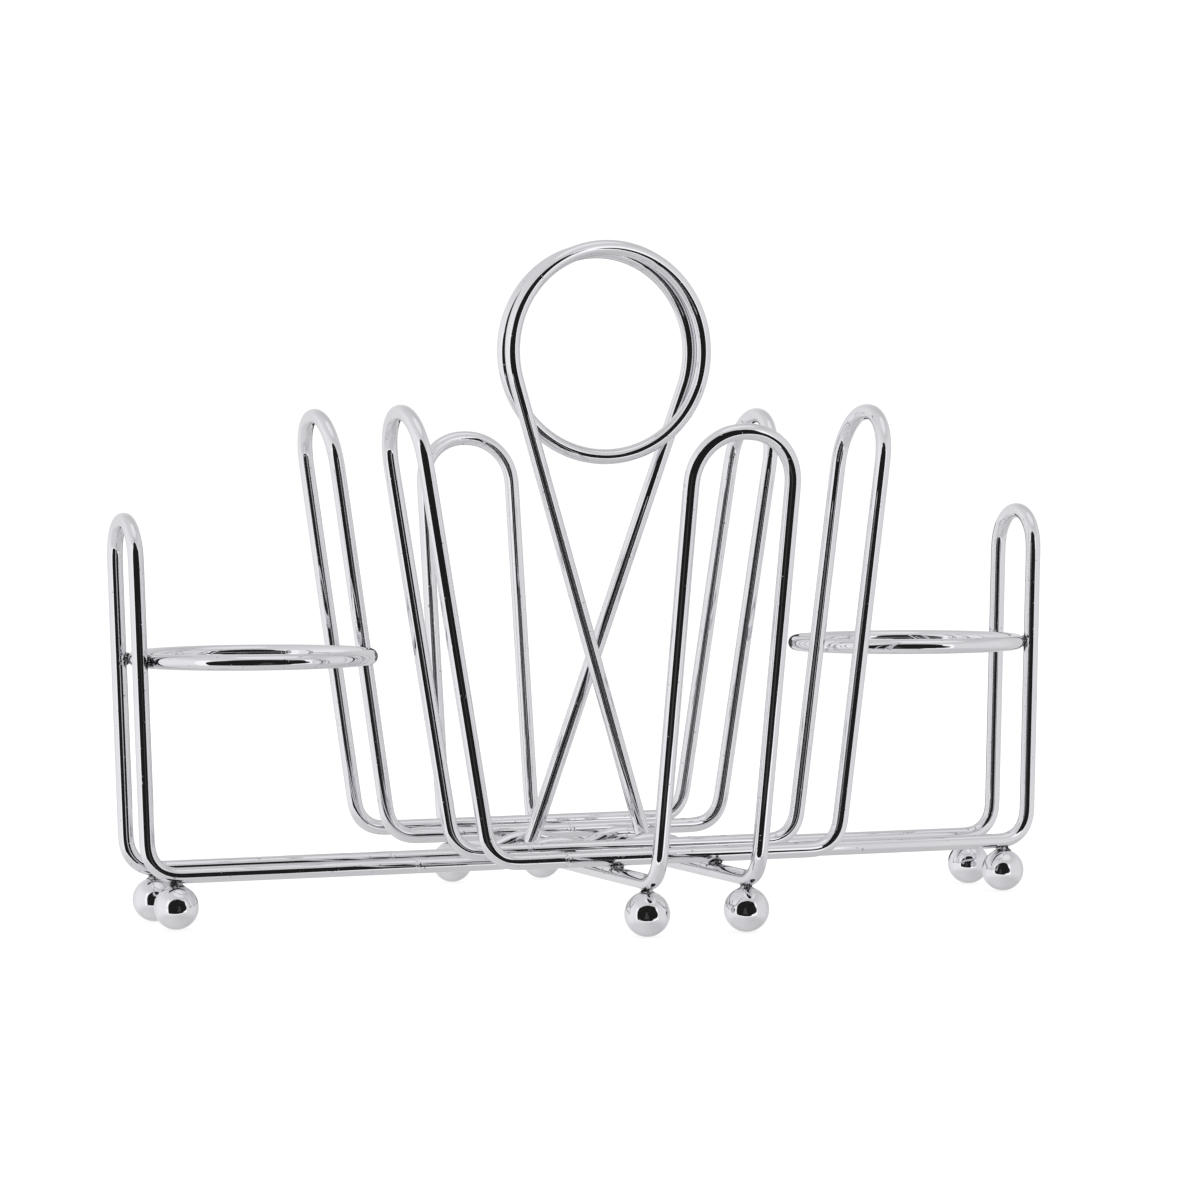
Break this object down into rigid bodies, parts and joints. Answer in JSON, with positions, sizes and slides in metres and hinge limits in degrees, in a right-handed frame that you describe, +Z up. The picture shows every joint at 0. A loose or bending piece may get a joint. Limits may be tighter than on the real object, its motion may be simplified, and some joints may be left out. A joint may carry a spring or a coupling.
{
  "type": "toast rack",
  "caption": "Chromed wire toast rack on ball feet: hoops form two leaning toast cradles, a coiled ring handle stands between them, and a flat ring for a pot sits at each end.",
  "frame": {"origin": "on the surface the rack stands on, under the middle of the rack", "axes": "+Z up; +X along the rack through both pot rings; +Y from the front cradle to the rear cradle"},
  "size_m": [0.2844, 0.2346, 0.1953],
  "materials": {
    "chromed_wire": "polished chrome plate on drawn steel wire",
    "chromed_ball": "polished chrome plate on a solid steel ball"
  },
  "bodies": {
    "root": {"end_hairpin_left": "chromed_wire", "end_hairpin_right": "chromed_wire", "cross_hairpin_front": "chromed_wire", "cross_hairpin_rear": "chromed_wire", "front_cradle_hairpin_left": "chromed_wire", "front_cradle_hairpin_right": "chromed_wire", "rear_cradle_hairpin_left": "chromed_wire", "rear_cradle_hairpin_right": "chromed_wire", "handle": "chromed_wire", "pot_ring_left": "chromed_wire", "pot_ring_right": "chromed_wire", "end_ball_left_front": "chromed_ball", "end_ball_left_rear": "chromed_ball", "end_ball_right_front": "chromed_ball", "end_ball_right_rear": "chromed_ball", "cross_ball_front_left": "chromed_ball", "cross_ball_rear_left": "chromed_ball", "cross_ball_front_right": "chromed_ball", "cross_ball_rear_right": "chromed_ball"}
  },
  "joints": []
}
